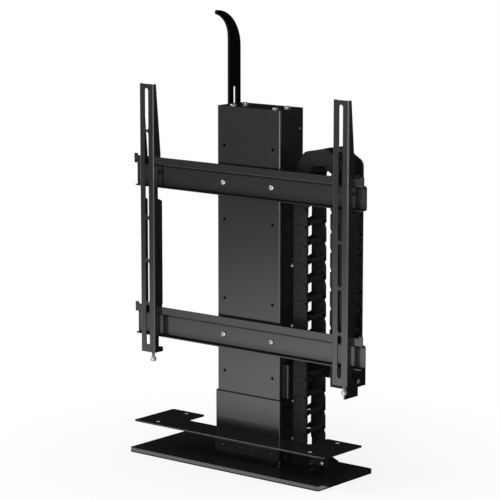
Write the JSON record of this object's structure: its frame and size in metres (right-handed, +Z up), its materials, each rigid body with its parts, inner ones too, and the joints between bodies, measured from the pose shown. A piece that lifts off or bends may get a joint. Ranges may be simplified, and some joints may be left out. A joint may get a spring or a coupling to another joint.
{
  "type": "tv lift",
  "caption": "Motorised TV lift: telescopic column on a floor plate, cross rails with slotted hook-on screen arms, lid lever and a cable chain loop.",
  "frame": {"origin": "underside of the base plate, on the column's axis", "axes": "+Z up along the column's travel, +X to the right of someone facing the screen side, -Y towards that viewer"},
  "size_m": [0.49, 0.15, 0.7627],
  "materials": {
    "black_coat": "satin black powder coat",
    "zinc_steel": "zinc plated",
    "chain_plastic": "moulded matte black",
    "glide_plastic": "natural acetal",
    "strap_web": "woven belt",
    "raw_steel": "plain steel",
    "control_plastic": "textured black"
  },
  "bodies": {
    "base": {"base_plate": "black_coat", "mast_foot": "black_coat", "mast": "black_coat", "foot_bolts": "zinc_steel", "mast_top_plate": "raw_steel", "mast_glides": "glide_plastic", "sleeve": "black_coat", "sleeve_screws": "zinc_steel", "wing_plate": "black_coat", "wing_screws": "black_coat", "control_box": "control_plastic", "control_socket": "zinc_steel", "gear_motor": "raw_steel", "gearbox": "raw_steel", "strap_anchors": "raw_steel", "strap_inner_runs": "strap_web", "chain_fixed_strand": "chain_plastic", "chain_fixed_end": "chain_plastic", "chain_foot_bolts": "zinc_steel"},
    "lead_screw": {"lead_screw": "zinc_steel"},
    "middle_stage": {"middle_tube": "black_coat", "middle_outer_glides": "glide_plastic", "middle_inner_glides": "glide_plastic", "middle_top_bar": "raw_steel", "push_tube": "raw_steel", "drive_nut": "glide_plastic", "pulley_axles": "zinc_steel", "strap_wraps": "strap_web"},
    "pulley_left": {"pulley_left": "glide_plastic"},
    "pulley_right": {"pulley_right": "glide_plastic"},
    "chain_loop": {"chain_loop": "chain_plastic"},
    "carriage": {"shell_front": "black_coat", "shell_rear": "black_coat", "shell_screws": "zinc_steel", "seam_rivets": "zinc_steel", "shell_glides": "glide_plastic", "strap_clamps": "raw_steel", "strap_outer_runs": "strap_web", "top_cap": "black_coat", "cap_screws": "zinc_steel", "upper_rail": "black_coat", "lower_rail": "black_coat", "rail_bolts": "zinc_steel", "lever_bolts": "zinc_steel", "chain_moving_strand": "chain_plastic", "chain_moving_end": "chain_plastic", "chain_bracket": "black_coat", "bracket_screws": "zinc_steel"},
    "arm_left": {"arm_left": "black_coat"},
    "arm_right": {"arm_right": "black_coat"},
    "lock_screw_left": {"lock_screw_left": "zinc_steel"},
    "lock_screw_right": {"lock_screw_right": "zinc_steel"},
    "lid_lever": {"lid_lever": "black_coat"}
  },
  "joints": [
    {"name": "carriage_lift", "type": "slide", "parent": "middle_stage", "child": "carriage", "axis": [0, 0, 1], "range_m": [0, 0.288], "deforming": ["chain_moving_strand", "strap_outer_runs"]},
    {"name": "stage_lift", "type": "slide", "parent": "base", "child": "middle_stage", "axis": [0, 0, 1], "range_m": [0, 0.288], "deforming": ["strap_inner_runs"]},
    {"name": "chain_loop_rise", "type": "slide", "parent": "base", "child": "chain_loop", "axis": [0, 0, 1], "range_m": [0, 0.288], "deforming": ["chain_fixed_strand"]},
    {"name": "lead_screw_spin", "type": "hinge", "parent": "base", "child": "lead_screw", "pos_m": [0, 0, 0.106], "axis": [0, 0, 1], "range_deg": [0, 10380]},
    {"name": "pulley_left_spin", "type": "hinge", "parent": "middle_stage", "child": "pulley_left", "pos_m": [-0.05, 0, 0.578], "axis": [0, 1, 0], "range_deg": [0, 1300]},
    {"name": "pulley_right_spin", "type": "hinge", "parent": "middle_stage", "child": "pulley_right", "pos_m": [0.05, 0, 0.578], "axis": [0, -1, 0], "range_deg": [0, 1300]},
    {"name": "arm_left_slide", "type": "slide", "parent": "carriage", "child": "arm_left", "axis": [1, 0, 0], "range_m": [-0.012, 0.107]},
    {"name": "arm_right_slide", "type": "slide", "parent": "carriage", "child": "arm_right", "axis": [-1, 0, 0], "range_m": [-0.012, 0.107]},
    {"name": "lock_left_turn", "type": "hinge", "parent": "arm_left", "child": "lock_screw_left", "pos_m": [-0.207, -0.0385, 0.15], "axis": [0, 0, 1], "range_deg": [-720, 0]},
    {"name": "lock_right_turn", "type": "hinge", "parent": "arm_right", "child": "lock_screw_right", "pos_m": [0.207, -0.0385, 0.15], "axis": [0, 0, 1], "range_deg": [-720, 0]},
    {"name": "lid_lever_height", "type": "slide", "parent": "carriage", "child": "lid_lever", "axis": [0, 0, 1], "range_m": [-0.036, 0.012]}
  ],
  "couplings": [
    {"joint": "stage_lift", "follows": "carriage_lift", "ratio": 1},
    {"joint": "chain_loop_rise", "follows": "carriage_lift", "ratio": 1},
    {"joint": "lead_screw_spin", "follows": "carriage_lift", "rad_per_m": 628.32},
    {"joint": "pulley_left_spin", "follows": "carriage_lift", "rad_per_m": 78.431},
    {"joint": "pulley_right_spin", "follows": "carriage_lift", "rad_per_m": 78.431}
  ]
}
